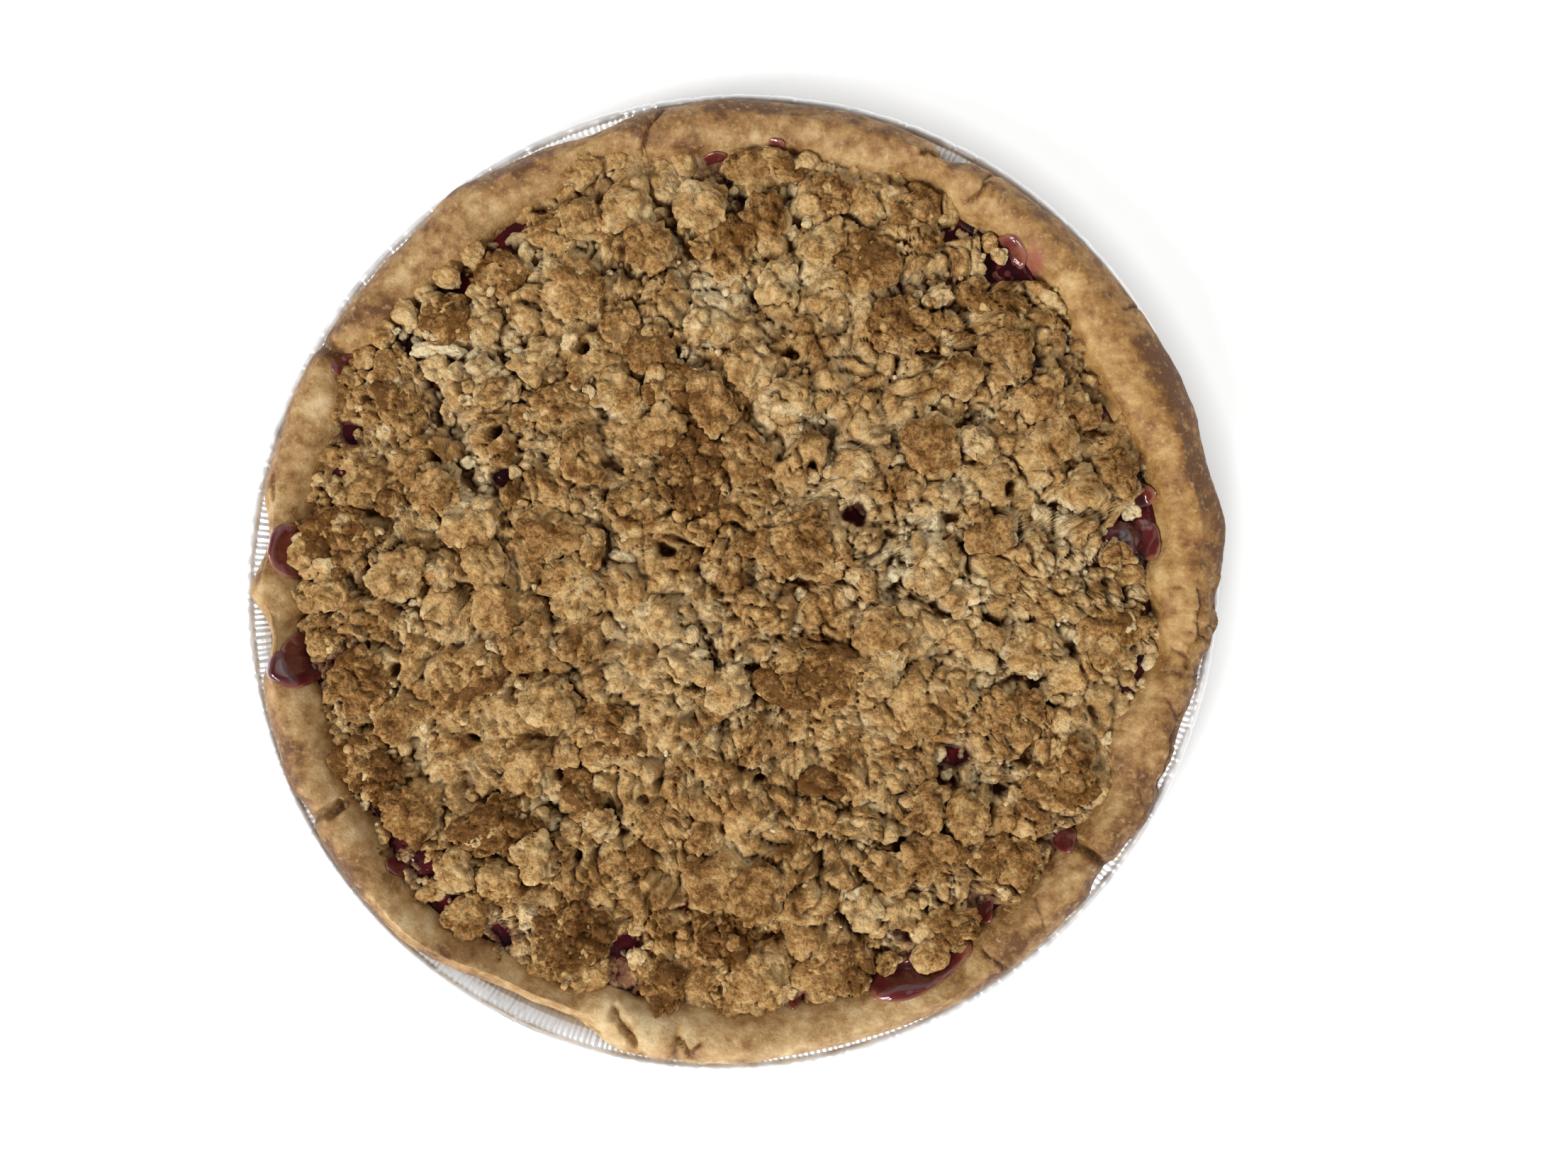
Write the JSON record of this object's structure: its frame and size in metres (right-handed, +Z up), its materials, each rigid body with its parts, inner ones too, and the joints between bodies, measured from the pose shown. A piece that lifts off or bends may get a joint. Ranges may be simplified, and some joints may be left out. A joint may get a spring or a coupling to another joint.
{
  "type": "crumble-topped cherry pie in a foil tin",
  "caption": "Round cherry pie with a fat rolled pastry rim, a rough crumble topping and red filling showing at its edge, in a shallow sloping foil tin.",
  "frame": {"origin": "on the surface that the tin stands on, under the middle of the pie", "axes": "+Z up through the middle of the pie, +X to the right and +Y away as the pie is seen from above"},
  "size_m": [0.225, 0.225, 0.0425],
  "materials": {
    "tin_foil": "bright rolled foil, finely fluted wall",
    "baked_pastry": "baked shortcrust, dull with a faint sheen",
    "cherry_syrup": "set cherry syrup, wet gloss",
    "cherry_skin": "cooked cherry skin, wrinkled and glossy",
    "baked_crumble": "baked butter crumble, rough and dry"
  },
  "bodies": {
    "root": {"pie_tin": "tin_foil", "pastry_crust": "baked_pastry", "cherry_filling": "cherry_syrup", "cherry": "cherry_skin", "crumble_topping": "baked_crumble"}
  },
  "joints": []
}
